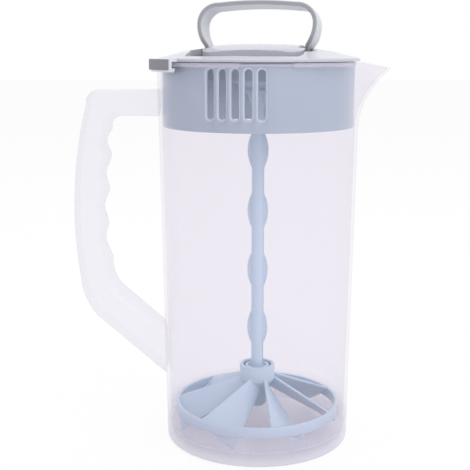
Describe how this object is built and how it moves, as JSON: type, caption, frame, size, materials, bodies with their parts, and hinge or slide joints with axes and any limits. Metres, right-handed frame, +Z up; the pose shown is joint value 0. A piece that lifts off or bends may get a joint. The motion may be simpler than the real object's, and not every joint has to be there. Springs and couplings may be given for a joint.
{
  "type": "formula mixing pitcher",
  "caption": "Clear lidded jug with a plunger that pumps a free-turning bladed wheel to mix infant formula, and a lid that turns its slots to the spout to pour.",
  "frame": {"origin": "on the jug's axis, on the flat underside of its base", "axes": "+Z up along the jug's axis, +X towards the spout, the handle towards -X"},
  "size_m": [0.1712, 0.113, 0.2414],
  "materials": {
    "clear_shell": "clear moulded plastic",
    "clear_handle": "clear moulded plastic",
    "pale_grey": "smooth moulded plastic",
    "blue_plastic": "smooth moulded plastic",
    "seal_silicone": "soft silicone",
    "clip_grey": "fine matt soft-touch plastic",
    "bush_blue": "smooth moulded plastic",
    "wiper_silicone": "soft silicone",
    "shaft_blue": "smooth moulded plastic",
    "cap_grey": "smooth moulded plastic",
    "bail_grey": "smooth moulded plastic",
    "pin_steel": "turned steel",
    "wheel_blue": "smooth moulded plastic",
    "collar_blue": "smooth moulded plastic",
    "retainer_blue": "smooth moulded plastic"
  },
  "bodies": {
    "pitcher": {"pitcher_body": "clear_shell", "handle": "clear_handle"},
    "lid": {"lid_cover": "pale_grey", "lid_skirt": "blue_plastic", "lid_seal": "seal_silicone", "clip_pad": "clip_grey", "guide_bush": "bush_blue", "shaft_wiper": "wiper_silicone"},
    "plunger": {"mixer_shaft": "shaft_blue", "plunger_cap": "cap_grey", "wheel_collar": "collar_blue", "wheel_retainer": "retainer_blue"},
    "bail": {"bail_handle": "bail_grey", "bail_pins": "pin_steel"},
    "wheel": {"mixing_wheel": "wheel_blue"}
  },
  "joints": [
    {"name": "lid_turn", "type": "hinge", "parent": "pitcher", "child": "lid", "pos_m": [0, 0, 0.2094], "axis": [0, 0, 1], "range_deg": [0, 105]},
    {"name": "plunger_slide", "type": "slide", "parent": "lid", "child": "plunger", "axis": [0, 0, 1], "range_m": [0, 0.15]},
    {"name": "bail_fold", "type": "hinge", "parent": "plunger", "child": "bail", "pos_m": [0, 0, 0.211], "axis": [0.9686, -0.2487, 0], "range_deg": [0, 97]},
    {"name": "wheel_spin", "type": "hinge", "parent": "plunger", "child": "wheel", "pos_m": [0, 0, 0.03], "axis": [0, 0, 1], "continuous": true}
  ]
}
